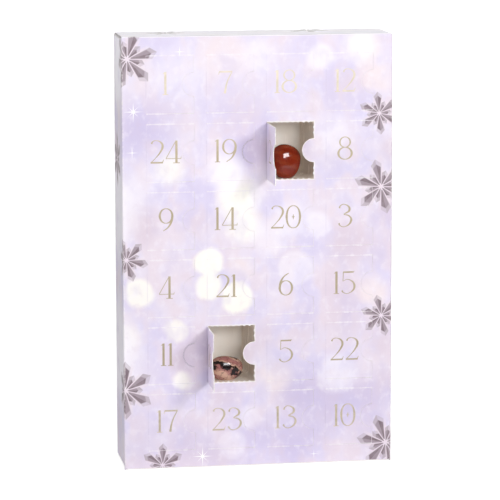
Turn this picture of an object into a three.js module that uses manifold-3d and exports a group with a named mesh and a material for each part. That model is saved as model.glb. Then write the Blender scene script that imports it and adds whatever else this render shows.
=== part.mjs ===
// Gemstone advent calendar: an upright folding carton of printed board whose front has 24
// tear-open doors, over a vacuum-formed tray that holds one tumbled stone behind each door.
// Millimetres, +Z up, the printed front towards -Y, the origin at the centre of the base.

import * as THREE from "three";
import { mergeVertices } from "three/addons/utils/BufferGeometryUtils.js";
import { ConvexGeometry } from "three/addons/geometries/ConvexGeometry.js";
import Module from "manifold-3d";

const wasm = await Module();
wasm.setup();

// The carton's outside, its board, and the air left between boards that lie on each other
const cartonWidth = 188;
const cartonDepth = 46;
const cartonHeight = 300;
const board = 0.6;
const foldRadius = 1.3;
const foldSlit = 0.3;
const paperGap = 0.3;
const creaseGap = 0.2;
const glueLine = 0.15;
const glueFlapWidth = 14;

// The grid of doors on the front
const leftMargin = 16.8;
const rightMargin = 13.7;
const topMargin = 12.9;
const bottomMargin = 12.8;
const columnGap = 8.5;
const rowGap = 7.1;
const doorNumbers = [
  [1, 7, 18, 12],
  [24, 19, 2, 8],
  [9, 14, 20, 3],
  [4, 21, 6, 15],
  [11, 16, 5, 22],
  [17, 23, 13, 10],
];
const openAngles = new Map([
  [2, 89],
  [16, 91],
]);

// A door's cut line: the half-round tongue left on the front, and the teeth of the tear line
const slit = 0.25;
const tongueRadius = 8.3;
const toothPitch = 3.7;
const toothHeight = 0.8;
const tearMargin = 1;
const toothShares = [
  [0.2, 0],
  [0.5, 1],
  [0.8, 0],
];

// The tuck-in top: lid, tuck flap and dust flaps
const lidSideGap = 0.8;
const tuckGap = 0.3;
const tuckLength = 11;
const tuckSideGap = 0.8;
const tuckCornerRadius = 7;
const dustFlapLength = 27;
const dustTaper = 6;
const dustShoulderShare = 0.4;

// The glued bottom's flaps
const bottomFlapMargin = 1.5;

// The formed tray
const trayWall = 0.5;
const trayFit = 0.4;
const traySkirt = 5;
const trayCornerRadius = 3;
const pocketMargin = 1.1;
const pocketCornerRadius = 6;
const pocketDraft = 3;
const pocketLip = 1.2;
const pocketFloorRadius = 4;

// The stones, door by door: kind, then width, depth and height as shares of the pocket, their place
// across it as a share of the room beside them, and the tilt and phase of their lumps in radians
const stoneGap = 0.3;
const stoneSquareness = 2.5;
const stoneLumpShare = 0.07;
const stoneShares = new Map([
  [1, ["amethyst", 0.6, 0.36, 0.44, 0.2, 0.4, 1]],
  [2, ["carnelian", 0.61, 0.37, 0.58, -0.36, 0.2, 2]],
  [3, ["green_aventurine", 0.66, 0.38, 0.4, 0.3, 0.9, 3]],
  [4, ["rose_quartz", 0.58, 0.4, 0.46, -0.3, 1.2, 4]],
  [5, ["sodalite", 0.55, 0.35, 0.5, 0.1, 0.5, 5]],
  [6, ["tiger_eye", 0.68, 0.34, 0.38, -0.5, 0.3, 6]],
  [7, ["clear_quartz", 0.5, 0.36, 0.52, 0.5, 0.7, 7]],
  [8, ["red_jasper", 0.64, 0.38, 0.42, -0.1, 1.1, 8]],
  [9, ["howlite", 0.6, 0.36, 0.45, 0.4, 0.2, 9]],
  [10, ["obsidian", 0.62, 0.37, 0.4, -0.4, 0.8, 10]],
  [11, ["citrine", 0.54, 0.36, 0.48, 0.2, 0.6, 11]],
  [12, ["rhodonite", 0.58, 0.38, 0.46, -0.2, 1.3, 12]],
  [13, ["amethyst", 0.64, 0.35, 0.42, 0.6, 1, 13]],
  [14, ["green_aventurine", 0.56, 0.38, 0.5, -0.6, 0.4, 14]],
  [15, ["carnelian", 0.6, 0.36, 0.44, 0.3, 0.9, 15]],
  [16, ["rhodonite", 0.68, 0.37, 0.42, -0.62, 0.1, 16]],
  [17, ["sodalite", 0.62, 0.36, 0.43, 0.1, 1.2, 17]],
  [18, ["rose_quartz", 0.66, 0.38, 0.4, -0.3, 0.7, 18]],
  [19, ["tiger_eye", 0.56, 0.35, 0.5, 0.4, 0.5, 19]],
  [20, ["howlite", 0.6, 0.38, 0.46, -0.5, 1.1, 20]],
  [21, ["clear_quartz", 0.54, 0.36, 0.5, 0.2, 0.3, 21]],
  [22, ["citrine", 0.64, 0.36, 0.4, -0.2, 0.8, 22]],
  [23, ["red_jasper", 0.58, 0.37, 0.46, 0.5, 0.6, 23]],
  [24, ["obsidian", 0.6, 0.38, 0.44, -0.4, 1, 24]],
]);

// Fineness of round forms, and how far a cutting solid runs past what it cuts
const foldSteps = 2;
const tongueSteps = 4;
const pocketCornerSteps = 1;
const stoneDetail = 2;
const overrun = 2;
const weldDistance = 1e-4;

// Sizes that follow from the ones above
const front = -cartonDepth / 2;
const back = cartonDepth / 2;
const side = cartonWidth / 2;
const columns = doorNumbers[0].length;
const rows = doorNumbers.length;
const doorWidth = (cartonWidth - leftMargin - rightMargin - (columns - 1) * columnGap) / columns;
const doorHeight = (cartonHeight - topMargin - bottomMargin - (rows - 1) * rowGap) / rows;
const lidBottom = cartonHeight - board;
const dustTop = lidBottom - paperGap;
const dustBottom = dustTop - board;
const tuckFront = front + board + tuckGap;
const tuckBack = tuckFront + board;
const bottomLevels = [0, board + paperGap, 2 * (board + paperGap)];
const bottomTop = bottomLevels[2] + board;
const trayFront = tuckBack + paperGap;
const pocketDepth = back - board - paperGap - trayWall - trayFront;
const draftSlope = Math.tan(THREE.MathUtils.degToRad(pocketDraft));
const pocketWidth = doorWidth + 2 * pocketMargin;
const pocketHeight = doorHeight + 2 * pocketMargin;

const colours = {
  print: 0xe2dcf0,
  innerBoard: 0xb9b0a3,
  tray: 0xdfe3e2,
  amethyst: 0x7d5ba6,
  carnelian: 0xa8321c,
  green_aventurine: 0x5f9a72,
  rose_quartz: 0xe6b3b6,
  sodalite: 0x2f4378,
  tiger_eye: 0x8a5a22,
  clear_quartz: 0xe4e6e6,
  red_jasper: 0x8e3a2c,
  howlite: 0xe9e6df,
  obsidian: 0x1d1c20,
  citrine: 0xd9a441,
  rhodonite: 0xb9707a,
};

function material(colour, roughness) {
  return new THREE.MeshStandardMaterial({ color: colours[colour], roughness, metalness: 0 });
}

function piece(name, geometry, colour, roughness) {
  const mesh = new THREE.Mesh(geometry, material(colour, roughness));
  mesh.name = name;
  return mesh;
}

// A closed geometry as a solid that can be joined and cut
function solidOf(geometry) {
  const bare = new THREE.BufferGeometry();
  bare.setAttribute("position", geometry.getAttribute("position"));
  bare.setIndex(geometry.index);
  const merged = mergeVertices(bare, weldDistance);
  return new wasm.Manifold(
    new wasm.Mesh({
      numProp: 3,
      vertProperties: new Float32Array(merged.attributes.position.array),
      triVerts: new Uint32Array(merged.index.array),
    }),
  );
}

function geometryOf(solid) {
  const { vertProperties, triVerts } = solid.getMesh();
  const geometry = new THREE.BufferGeometry();
  geometry.setAttribute("position", new THREE.BufferAttribute(vertProperties, 3));
  geometry.setIndex(new THREE.BufferAttribute(triVerts, 1));
  const faceted = geometry.toNonIndexed();
  faceted.computeVertexNormals();
  return faceted;
}

function rectangle(left, right, low, high) {
  const shape = new THREE.Shape();
  shape.moveTo(left, low);
  shape.lineTo(right, low);
  shape.lineTo(right, high);
  shape.lineTo(left, high);
  shape.closePath();
  return shape;
}

function roundedRectangle(width, height, radius) {
  const x = width / 2;
  const y = height / 2;
  const shape = new THREE.Shape();
  shape.absarc(x - radius, y - radius, radius, 0, Math.PI / 2);
  shape.absarc(radius - x, y - radius, radius, Math.PI / 2, Math.PI);
  shape.absarc(radius - x, radius - y, radius, Math.PI, 1.5 * Math.PI);
  shape.absarc(x - radius, radius - y, radius, 1.5 * Math.PI, 2 * Math.PI);
  shape.closePath();
  return shape;
}

// A flat outline given thickness upwards, from z = 0
function layFlat(shape, thickness, steps = foldSteps) {
  const settings = { depth: thickness, bevelEnabled: false, curveSegments: steps };
  return new THREE.ExtrudeGeometry(shape, settings);
}

// An outline drawn as seen from the front, x across and y up, given thickness towards the back
function standUp(shape, thickness, steps = foldSteps) {
  return layFlat(shape, thickness, steps).rotateX(Math.PI / 2).translate(0, thickness, 0);
}

// Board seen end on, folded at a right angle to the left at each inner point of its outer line
function foldedBoard(line) {
  const folds = line.slice(1, -1).map((corner, i) => {
    const arriving = corner.clone().sub(line[i]).normalize();
    const leaving = line[i + 2].clone().sub(corner).normalize();
    return {
      centre: corner.clone().addScaledVector(arriving, -foldRadius).addScaledVector(leaving, foldRadius),
      start: Math.atan2(-leaving.y, -leaving.x),
      end: Math.atan2(arriving.y, arriving.x),
    };
  });
  const last = line.length - 1;
  const inwards = (from, to) => {
    const along = to.clone().sub(from).normalize();
    return new THREE.Vector2(-along.y, along.x).multiplyScalar(board);
  };
  const innerEnd = line[last].clone().add(inwards(line[last - 1], line[last]));
  const innerStart = line[0].clone().add(inwards(line[0], line[1]));
  const shape = new THREE.Shape();
  shape.moveTo(line[0].x, line[0].y);
  for (const { centre, start, end } of folds) {
    shape.lineTo(centre.x + foldRadius * Math.cos(start), centre.y + foldRadius * Math.sin(start));
    shape.absarc(centre.x, centre.y, foldRadius, start, end, false);
  }
  shape.lineTo(line[last].x, line[last].y);
  shape.lineTo(innerEnd.x, innerEnd.y);
  for (const { centre, start, end } of folds.reverse()) {
    shape.absarc(centre.x, centre.y, foldRadius - board, end, start, true);
  }
  shape.lineTo(innerStart.x, innerStart.y);
  shape.closePath();
  return shape;
}

// The cut line of a door seen from the front, from its crease at x = 0 and its lower edge at y = 0.
// The inset takes the door in from the edge of its opening. A torn line has pointed teeth that stay
// on the front, at the same places in the opening and in the door.
function doorOutline(inset, leftInset, torn) {
  const right = doorWidth - inset;
  const top = doorHeight - inset;
  const middle = doorHeight / 2;
  const radius = tongueRadius + inset;
  const overlap = Math.asin(inset / radius);
  const straight = middle - tongueRadius;
  const points = (length) => {
    const count = torn ? Math.max(0, Math.floor((length - 2 * tearMargin) / toothPitch)) : 0;
    const first = (length - count * toothPitch) / 2;
    const along = (tooth, share) => first + (tooth + share) * toothPitch;
    return Array.from({ length: count }, (_, tooth) =>
      toothShares.map(([share, rise]) => [along(tooth, share), rise * toothHeight]),
    ).flat();
  };
  const across = points(doorWidth);
  const upright = points(straight);
  const shape = new THREE.Shape();
  shape.moveTo(leftInset, inset);
  across.forEach(([x, rise]) => shape.lineTo(x, inset + rise));
  shape.lineTo(right, inset);
  upright.forEach(([y, rise]) => shape.lineTo(right - rise, y));
  shape.absarc(doorWidth, middle, radius, -Math.PI / 2 - overlap, Math.PI / 2 + overlap, true);
  upright.forEach(([y, rise]) => shape.lineTo(right - rise, middle + tongueRadius + y));
  shape.lineTo(right, top);
  across.reverse().forEach(([x, rise]) => shape.lineTo(x, top - rise));
  shape.lineTo(leftInset, top);
  shape.closePath();
  return shape;
}

// Every door's number and the lower left corner of its opening, seen from the front
const doorPlaces = doorNumbers.flatMap((row, r) =>
  row.map((number, c) => ({
    number,
    x: -side + leftMargin + c * (doorWidth + columnGap),
    z: bottomMargin + (rows - 1 - r) * (doorHeight + rowGap),
    torn: openAngles.has(number),
  })),
);

const twoDigits = (number) => String(number).padStart(2, "0");

// The sleeve: one blank wrapped round from the rear left corner and glued there over its flap, with
// the bottom flaps folded in from its four walls, and the openings cut through its front
function bottomFlap(level, length, width, turn, distance) {
  const wallTop = level + 2 * foldRadius;
  const line = [
    new THREE.Vector2(0, wallTop),
    new THREE.Vector2(0, level),
    new THREE.Vector2(length, level),
  ];
  return solidOf(
    layFlat(foldedBoard(line), width)
      .rotateX(Math.PI / 2)
      .translate(-distance, width / 2, 0)
      .rotateZ(turn),
  );
}

function wallCut(lengthX, lengthY, x, y, low, high) {
  const geometry = new THREE.BoxGeometry(lengthX, lengthY, high - low);
  return solidOf(geometry.translate(x, y, (low + high) / 2));
}

function sleeve() {
  const gluedSide = -side + board + glueLine;
  const wrap = [
    new THREE.Vector2(-side, back - foldRadius),
    new THREE.Vector2(-side, front),
    new THREE.Vector2(side, front),
    new THREE.Vector2(side, back),
    new THREE.Vector2(gluedSide, back),
    new THREE.Vector2(gluedSide, back - glueFlapWidth),
  ];
  let solid = solidOf(layFlat(foldedBoard(wrap), cartonHeight));

  const acrossWidth = cartonWidth - 2 * foldRadius;
  const acrossDepth = cartonDepth - 2 * foldRadius;
  const wallDepth = 2 * foldRadius;
  const [outer, inner, dust] = bottomLevels;
  const sideTop = dustBottom - creaseGap;
  const above = cartonHeight + overrun;
  const innerWall = 2 * (board + glueLine) + board;
  const cuts = [
    wallCut(acrossWidth, wallDepth, 0, front, -overrun, outer + foldRadius),
    wallCut(acrossWidth, wallDepth, 0, back, -overrun, inner + foldRadius),
    wallCut(wallDepth, acrossDepth, -side, 0, -overrun, dust + foldRadius),
    wallCut(wallDepth, acrossDepth, side, 0, -overrun, dust + foldRadius),
    wallCut(2 * innerWall, acrossDepth, -side, 0, sideTop, above),
    wallCut(2 * innerWall, acrossDepth, side, 0, sideTop, above),
    wallCut(cartonWidth + overrun, wallDepth, 0, back, lidBottom - creaseGap, above),
    wallCut(2 * innerWall, glueFlapWidth, gluedSide + innerWall, back - glueFlapWidth / 2 - foldRadius,
      -overrun, bottomTop + paperGap),
  ];
  cuts.forEach((cut) => (solid = solid.subtract(cut)));

  const flapAcross = acrossWidth - 2 * foldSlit;
  const flapDeep = acrossDepth - 2 * foldSlit;
  const fullReach = cartonDepth - bottomFlapMargin;
  const quarter = Math.PI / 2;
  solid = solid
    .add(bottomFlap(outer, fullReach, flapAcross, quarter, back))
    .add(bottomFlap(inner, fullReach, flapAcross, -quarter, back))
    .add(bottomFlap(dust, dustFlapLength, flapDeep, 0, side))
    .add(bottomFlap(dust, dustFlapLength, flapDeep, 2 * quarter, side));

  for (const { x, z, torn } of doorPlaces) {
    const opening = standUp(doorOutline(0, 0, torn), board + 2 * overrun, tongueSteps);
    solid = solid.subtract(solidOf(opening.translate(x, front - overrun, z)));
  }
  return piece("carton_sleeve", geometryOf(solid), "print", 0.55);
}

// The doors: each hangs on its crease at the opening's left edge and swings out to the left
function door({ number, x, z, torn }) {
  const hinge = new THREE.Group();
  hinge.position.set(x, front, z);
  hinge.rotation.z = -THREE.MathUtils.degToRad(openAngles.get(number) ?? 0);
  const panel = standUp(doorOutline(slit, creaseGap, torn), board, tongueSteps);
  hinge.add(piece("door_" + twoDigits(number), panel, "print", 0.55));
  return hinge;
}

// The lid, which hangs on the back wall's top crease
function lid() {
  const width = side - lidSideGap;
  const panel = layFlat(rectangle(-width, width, tuckFront, back), board);
  const mesh = piece("lid_panel", panel, "print", 0.55);
  mesh.position.z = lidBottom;
  return mesh;
}

// The tuck flap, folded down from the lid's front edge to slide in behind the front wall
function tuckFlap() {
  const half = side - board - tuckSideGap;
  const radius = tuckCornerRadius;
  const shape = new THREE.Shape();
  shape.moveTo(half, 0);
  shape.lineTo(-half, 0);
  shape.absarc(radius - half, radius - tuckLength, radius, Math.PI, 1.5 * Math.PI);
  shape.absarc(half - radius, radius - tuckLength, radius, 1.5 * Math.PI, 2 * Math.PI);
  shape.closePath();
  const mesh = piece("tuck_flap", standUp(shape, board), "print", 0.55);
  mesh.position.set(0, tuckFront, lidBottom - creaseGap);
  return mesh;
}

// A dust flap, folded in from the top of a side wall to lie under the lid, tapered to its free end
function dustFlap(name, turn) {
  const near = Math.max(tuckBack + 2 * paperGap, front + foldRadius + foldSlit);
  const far = back - foldRadius - foldSlit;
  const middle = (near + far) / 2;
  const half = (far - near) / 2;
  const end = half - dustTaper;
  const shoulder = dustFlapLength * dustShoulderShare;
  const shape = new THREE.Shape();
  shape.moveTo(-side, -half);
  shape.lineTo(shoulder - side, -half);
  shape.lineTo(dustFlapLength - side, -end);
  shape.lineTo(dustFlapLength - side, end);
  shape.lineTo(shoulder - side, half);
  shape.lineTo(-side, half);
  shape.closePath();
  const flap = layFlat(shape, board).rotateZ(turn);
  const mesh = piece(name, flap, "innerBoard", 0.85);
  mesh.position.set(0, middle, dustBottom);
  return mesh;
}

// A ring of a pocket's wall, a rounded rectangle drawn as seen from the front
function pocketRing(grow, depth) {
  const radius = Math.max(pocketCornerRadius + grow, trayWall);
  const outline = roundedRectangle(pocketWidth + 2 * grow, pocketHeight + 2 * grow, radius);
  const points = outline.getPoints(pocketCornerSteps);
  if (points[0].distanceTo(points.at(-1)) < weldDistance) points.pop();
  return points.map((point) => new THREE.Vector3(point.x, depth, point.y));
}

// A closed solid through rings of equal length, from the front to the back
function loft(rings) {
  const count = rings[0].length;
  const geometry = new THREE.BufferGeometry().setFromPoints(rings.flat());
  const faces = [];
  for (let ring = 0; ring < rings.length - 1; ring++) {
    for (let i = 0; i < count; i++) {
      const next = (i + 1) % count;
      const [a, b] = [ring * count + i, ring * count + next];
      faces.push(a, b + count, b, a, a + count, b + count);
    }
  }
  const lastRing = (rings.length - 1) * count;
  for (let i = 1; i < count - 1; i++) {
    faces.push(0, i, i + 1, lastRing, lastRing + i + 1, lastRing + i);
  }
  geometry.setIndex(faces);
  return solidOf(geometry);
}

// The tray: a flange just behind the front with a skirt turned back all round, and a tapering
// round-cornered pocket drawn back from it behind each door
function pocketRings(wall) {
  const sweep = Math.PI / 4;
  const taper = (depth) => wall - depth * draftSlope;
  const bend = pocketDepth - pocketFloorRadius;
  const floor = pocketDepth + wall;
  const radius = pocketFloorRadius + wall;
  return [
    pocketRing(pocketLip + wall, wall / 2),
    pocketRing(taper(pocketLip), pocketLip + wall),
    pocketRing(taper(bend), bend),
    pocketRing(taper(bend) - radius * (1 - Math.cos(sweep)), bend + radius * Math.sin(sweep)),
    pocketRing(taper(bend) - radius, floor),
  ];
}

function tray() {
  const width = cartonWidth - 2 * (board + trayFit);
  const low = bottomTop + paperGap;
  const high = dustBottom - trayFit;
  const height = high - low;
  const rim = roundedRectangle(width, height, trayCornerRadius);
  const hollow = roundedRectangle(width - 2 * trayWall, height - 2 * trayWall, trayCornerRadius - trayWall);
  const middle = (low + high) / 2;
  const hollowDepth = traySkirt + overrun;
  let solid = solidOf(standUp(rim, traySkirt).translate(0, 0, middle)).subtract(
    solidOf(standUp(hollow, hollowDepth).translate(0, trayWall, middle)),
  );
  const outside = loft(pocketRings(trayWall));
  const inside = loft([pocketRing(pocketLip, -overrun), ...pocketRings(0)]);
  const centres = doorPlaces.map(({ x, z }) => [x + doorWidth / 2, 0, z + doorHeight / 2]);
  centres.forEach((centre) => (solid = solid.add(outside.translate(centre))));
  centres.forEach((centre) => (solid = solid.subtract(inside.translate(centre))));
  const mesh = piece("formed_tray", geometryOf(solid), "tray", 0.25);
  mesh.position.y = trayFront;
  return mesh;
}

// A tumbled stone: a squarish ball with soft lumps, turned a little and brought to its three sizes
function tumbledStone(width, depth, height, tilt, phase) {
  const ball = new THREE.IcosahedronGeometry(1, stoneDetail);
  const positions = mergeVertices(ball.deleteAttribute("normal").deleteAttribute("uv")).getAttribute("position");
  const points = Array.from({ length: positions.count }, (_, i) => {
    const way = new THREE.Vector3().fromBufferAttribute(positions, i);
    const power = way.toArray().reduce((sum, part) => sum + Math.abs(part) ** stoneSquareness, 0);
    const lump = Math.sin(2 * way.x + phase) + Math.sin(3 * way.y - phase) * Math.cos(2 * way.z + phase);
    return way.multiplyScalar((1 + stoneLumpShare * lump) / power ** (1 / stoneSquareness));
  });
  const stone = new ConvexGeometry(points).rotateY(tilt);
  stone.computeBoundingBox();
  const size = stone.boundingBox.getSize(new THREE.Vector3());
  const centre = stone.boundingBox.getCenter(new THREE.Vector3());
  stone.translate(-centre.x, -centre.y, -centre.z);
  return stone.scale(width / size.x, depth / size.y, height / size.z);
}

// Each stone lies on its pocket's sloping lower wall and leans on the back of its door
function stone({ number, x, z }) {
  const [kind, widthShare, depthShare, heightShare, placeShare, tilt, phase] = stoneShares.get(number);
  const width = widthShare * pocketWidth;
  const geometry = tumbledStone(width, depthShare * pocketDepth, heightShare * pocketHeight, tilt, phase);
  const positions = geometry.getAttribute("position");
  let frontmost = 0;
  let lowest = 0;
  for (let i = 0; i < positions.count; i++) {
    frontmost = Math.max(frontmost, -positions.getY(i));
    lowest = Math.max(lowest, draftSlope * positions.getY(i) - positions.getZ(i));
  }
  const centreY = front + board + stoneGap + frontmost;
  const room = (pocketWidth - width) / 2 - draftSlope * pocketDepth;
  const mesh = piece("stone_" + twoDigits(number), geometry, kind, 0.15);
  mesh.position.set(
    x + doorWidth / 2 + placeShare * room,
    centreY,
    z - pocketMargin + stoneGap + lowest + draftSlope * (centreY - trayFront),
  );
  return mesh;
}

const calendar = new THREE.Group();
calendar.add(sleeve(), tray(), lid(), tuckFlap());
calendar.add(dustFlap("top_dust_flap_left", 0), dustFlap("top_dust_flap_right", Math.PI));
for (const place of doorPlaces) calendar.add(door(place), stone(place));

export default calendar;
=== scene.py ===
import math

import bmesh
import bpy
from mathutils import Euler, Matrix, Vector


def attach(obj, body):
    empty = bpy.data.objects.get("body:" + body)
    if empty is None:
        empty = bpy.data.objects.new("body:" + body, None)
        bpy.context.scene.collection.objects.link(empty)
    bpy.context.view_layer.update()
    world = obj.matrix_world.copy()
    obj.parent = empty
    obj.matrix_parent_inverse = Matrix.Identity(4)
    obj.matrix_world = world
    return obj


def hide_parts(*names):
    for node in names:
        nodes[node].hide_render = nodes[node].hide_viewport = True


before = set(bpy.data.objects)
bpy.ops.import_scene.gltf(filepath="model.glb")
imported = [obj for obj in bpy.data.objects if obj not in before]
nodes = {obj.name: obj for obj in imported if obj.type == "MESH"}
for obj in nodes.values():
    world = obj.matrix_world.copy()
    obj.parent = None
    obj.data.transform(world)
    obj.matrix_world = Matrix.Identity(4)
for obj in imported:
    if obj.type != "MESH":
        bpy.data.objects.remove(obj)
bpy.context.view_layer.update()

# The camera: two metres away, a little above the carton and to the left of it, with a long lens,
# as fitted to the carton's corners and the cut lines of its doors.

SENSOR = 36
FOCAL_PIXELS, PICTURE_PIXELS = 2904, 500
CAMERA_PLACE = (-0.3151, -1.976, 0.4593)
CAMERA_TURNS = (81.166, 0.123, -9.017)
camera_data = bpy.data.cameras.new("camera")
camera_data.sensor_width = SENSOR
camera_data.lens = SENSOR * FOCAL_PIXELS / PICTURE_PIXELS
camera = bpy.data.objects.new("camera", camera_data)
camera.location = CAMERA_PLACE
camera.rotation_euler = Euler([math.radians(turn) for turn in CAMERA_TURNS])
bpy.context.scene.collection.objects.link(camera)
bpy.context.scene.camera = camera
bpy.context.scene.view_settings.view_transform = "Standard"

# The studio: a plain pale floor in a white room, a soft lamp in front of the carton, above it and to
# its right, which throws the open doors' shadows to the left, a broad one that reaches into the
# pockets, two that lighten the left side and the back, and two panels that only gloss mirrors.


def daylight(red, green, blue):
    """A colour as the eye reads it, from 0 to 255, made linear for the renderer."""
    shares = [part / 255 for part in (red, green, blue)]
    linear = [s / 12.92 if s <= 0.04045 else ((s + 0.055) / 1.055) ** 2.4 for s in shares]
    return (*linear, 1)


def new_finish(name):
    """A new material, with its node tree and its shader."""
    material = bpy.data.materials.new(name)
    material.use_nodes = True
    return material, material.node_tree, material.node_tree.nodes["Principled BSDF"]


ROOM_LIGHT = 0.03
FLOOR_REACH, FLOOR_GLOW = 12, 0.7
room = bpy.data.worlds.new("room")
bpy.context.scene.world = room
room.use_nodes = True
room.node_tree.nodes["Background"].inputs["Color"].default_value = daylight(255, 250, 247)
room.node_tree.nodes["Background"].inputs["Strength"].default_value = ROOM_LIGHT

LAMP_AIM = Vector((0, 0, 0.16))
# Each lamp: direction from the carton, distance, width and height in metres, watts, and what it lights
LAMPS = {
    "front_lamp": ((0.65, -1, 0.52), 2.2, 0.45, 0.45, 15.5, "matt"),
    "pocket_lamp": ((0.08, -1, 0.22), 2.4, 1, 0.6, 29.5, "matt"),
    "left_lamp": ((-1, -0.08, 0.2), 3, 1.8, 1.8, 46, "matt"),
    "back_lamp": ((0.5, 1, 0.24), 6, 3.2, 3.2, 260, "matt"),
    "front_panel": ((0.17, -1, 0.53), 2.2, 1, 0.6, 42, "gloss"),
    "back_panel": ((0, 1, 0.1), 5, 4.5, 3, 115, "gloss"),
}
for name, (direction, distance, width, height, watts, lights) in LAMPS.items():
    lamp_data = bpy.data.lights.new(name, "AREA")
    lamp_data.shape = "RECTANGLE"
    lamp_data.size = width
    lamp_data.size_y = height
    lamp_data.energy = watts
    lamp = bpy.data.objects.new(name, lamp_data)
    lamp.location = LAMP_AIM + distance * Vector(direction).normalized()
    lamp.rotation_euler = (lamp.location - LAMP_AIM).to_track_quat("Z", "Y").to_euler()
    lamp.visible_camera = False
    lamp.visible_glossy = lights == "gloss"
    lamp.visible_diffuse = lights == "matt"
    bpy.context.scene.collection.objects.link(lamp)

floor_mesh = bpy.data.meshes.new("floor")
bm = bmesh.new()
bmesh.ops.create_grid(bm, x_segments=2, y_segments=2, size=FLOOR_REACH)
bm.to_mesh(floor_mesh)
bm.free()
floor = bpy.data.objects.new("floor", floor_mesh)
bpy.context.scene.collection.objects.link(floor)
floor_paint, floor_tree, floor_shader = new_finish("floor_paint")
floor_shader.inputs["Base Color"].default_value = daylight(250, 250, 250)
floor_shader.inputs["Roughness"].default_value = 0.9
floor_shader.inputs["Emission Color"].default_value = daylight(255, 255, 255)
floor_sight = floor_tree.nodes.new("ShaderNodeLightPath")
floor_glow = floor_tree.nodes.new("ShaderNodeMath")
floor_glow.operation = "MULTIPLY"
floor_glow.inputs[1].default_value = FLOOR_GLOW
floor_tree.links.new(floor_sight.outputs["Is Camera Ray"], floor_glow.inputs[0])
floor_tree.links.new(floor_glow.outputs[0], floor_shader.inputs["Emission Strength"])
floor_mesh.materials.append(floor_paint)

# The carton's sleeve: one blank of thin greyboard, printed lilac on its outer side with soft
# lights, snowflakes and sparks, cut and creased flat, then wrapped round and glued.

# Sizes in mm, with the doors' numbers row by row from the top
CARTON_WIDTH, CARTON_DEPTH, CARTON_HEIGHT = 188, 46, 300
FRONT = -CARTON_DEPTH / 2
BOARD = 0.6
FOLD_RADIUS = 1.3
DOOR_WIDTH, DOOR_HEIGHT = 33, 39.8
COLUMN_PITCH, ROW_PITCH = 41.5, 46.9
FIRST_DOOR_LEFT, FIRST_DOOR_LOW = -77.2, 12.8
COLUMNS, ROWS = 4, 6
TONGUE_RADIUS = 8.3
TOOTH_PITCH = 3.7
MM = 0.001
DOOR_NUMBERS = [
    (1, 7, 18, 12), (24, 19, 2, 8), (9, 14, 20, 3), (4, 21, 6, 15), (11, 16, 5, 22), (17, 23, 13, 10),
]
OPEN_ANGLES = {2: 89, 16: 91}
DOOR_MIDDLE = Vector((DOOR_WIDTH / 2, 0, DOOR_HEIGHT / 2))
door_places = {
    number: Vector((
        FIRST_DOOR_LEFT + column * COLUMN_PITCH, FRONT, FIRST_DOOR_LOW + (ROWS - 1 - row) * ROW_PITCH,
    ))
    for row, numbers in enumerate(DOOR_NUMBERS)
    for column, number in enumerate(numbers)
}


class Measure:
    """A number that changes over a surface, so that a finish can be worked out as plain sums."""

    def __init__(self, socket):
        self.socket = socket

    def worked(self, operation, *others):
        node = self.socket.id_data.nodes.new("ShaderNodeMath")
        node.operation = operation
        for place, value in zip(node.inputs, (self, *others)):
            connect(value, place)
        return Measure(node.outputs[0])

    def __add__(self, other):
        return self.worked("ADD", other)

    def __sub__(self, other):
        return self.worked("SUBTRACT", other)

    def __mul__(self, other):
        return self.worked("MULTIPLY", other)

    def __neg__(self):
        return self * -1

    def size(self):
        return self.worked("ABSOLUTE")

    def least(self, other):
        return self.worked("MINIMUM", other)

    def most(self, other):
        return self.worked("MAXIMUM", other)

    def rise(self, low, high):
        """0 at low and below, 1 at high and above, or the other way round, with soft ends."""
        node = self.socket.id_data.nodes.new("ShaderNodeMapRange")
        node.interpolation_type = "SMOOTHSTEP"
        for place, value in zip(node.inputs, (self, low, high)):
            connect(value, place)
        return Measure(node.outputs["Result"])

    def rest(self):
        """What is left of a share: one less it."""
        return self.worked("MULTIPLY_ADD", -1, 1)


def connect(value, place):
    """Sets a socket to a plain value, or joins it to a measure or another socket."""
    if isinstance(value, Measure):
        value = value.socket
    if isinstance(value, bpy.types.NodeSocket):
        place.id_data.links.new(value, place)
    else:
        place.default_value = value


def length_of(across, along):
    return (across * across + along * along).worked("SQRT")


def split(vector):
    """A vector's three parts as measures."""
    node = vector.id_data.nodes.new("ShaderNodeSeparateXYZ")
    connect(vector, node.inputs[0])
    return [Measure(part) for part in node.outputs]


def joined(x, y, z=0):
    node = x.socket.id_data.nodes.new("ShaderNodeCombineXYZ")
    for place, value in zip(node.inputs, (x, y, z)):
        connect(value, place)
    return node.outputs[0]


def either(one, other):
    """The greater of two shares, or the second alone while there is no first."""
    return other if one is None else one.most(other)


# The places of a Mix node's sockets for its share and two colours, and for the colour made
MIX_SOCKETS, MIXED = (0, 6, 7), 2


def painted(share, under, over):
    """The colour under, with the colour over laid on it by a share."""
    node = share.socket.id_data.nodes.new("ShaderNodeMix")
    node.data_type = "RGBA"
    for place, value in zip(MIX_SOCKETS, (share, under, over)):
        connect(value, node.inputs[place])
    return node.outputs[MIXED]


def cloud(place, scale, detail=2, roughness=0.5, distortion=0):
    """Soft noise from 0 to 1, with its scale in patches for each unit of the place."""
    node = place.id_data.nodes.new("ShaderNodeTexNoise")
    connect(place, node.inputs["Vector"])
    node.inputs["Scale"].default_value = scale
    node.inputs["Detail"].default_value = detail
    node.inputs["Roughness"].default_value = roughness
    node.inputs["Distortion"].default_value = distortion
    return Measure(node.outputs["Fac"])


def object_place(tree):
    return tree.nodes.new("ShaderNodeTexCoord").outputs["Object"]


def add_relief(tree, height, distance, strength=1):
    """Raises a finish by a height from 0 to 1, as much as a distance in mm."""
    relief = tree.nodes.new("ShaderNodeBump")
    relief.inputs["Distance"].default_value = distance * MM
    relief.inputs["Strength"].default_value = strength
    connect(height, relief.inputs["Height"])
    connect(relief.outputs["Normal"], tree.nodes["Principled BSDF"].inputs["Normal"])


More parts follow.
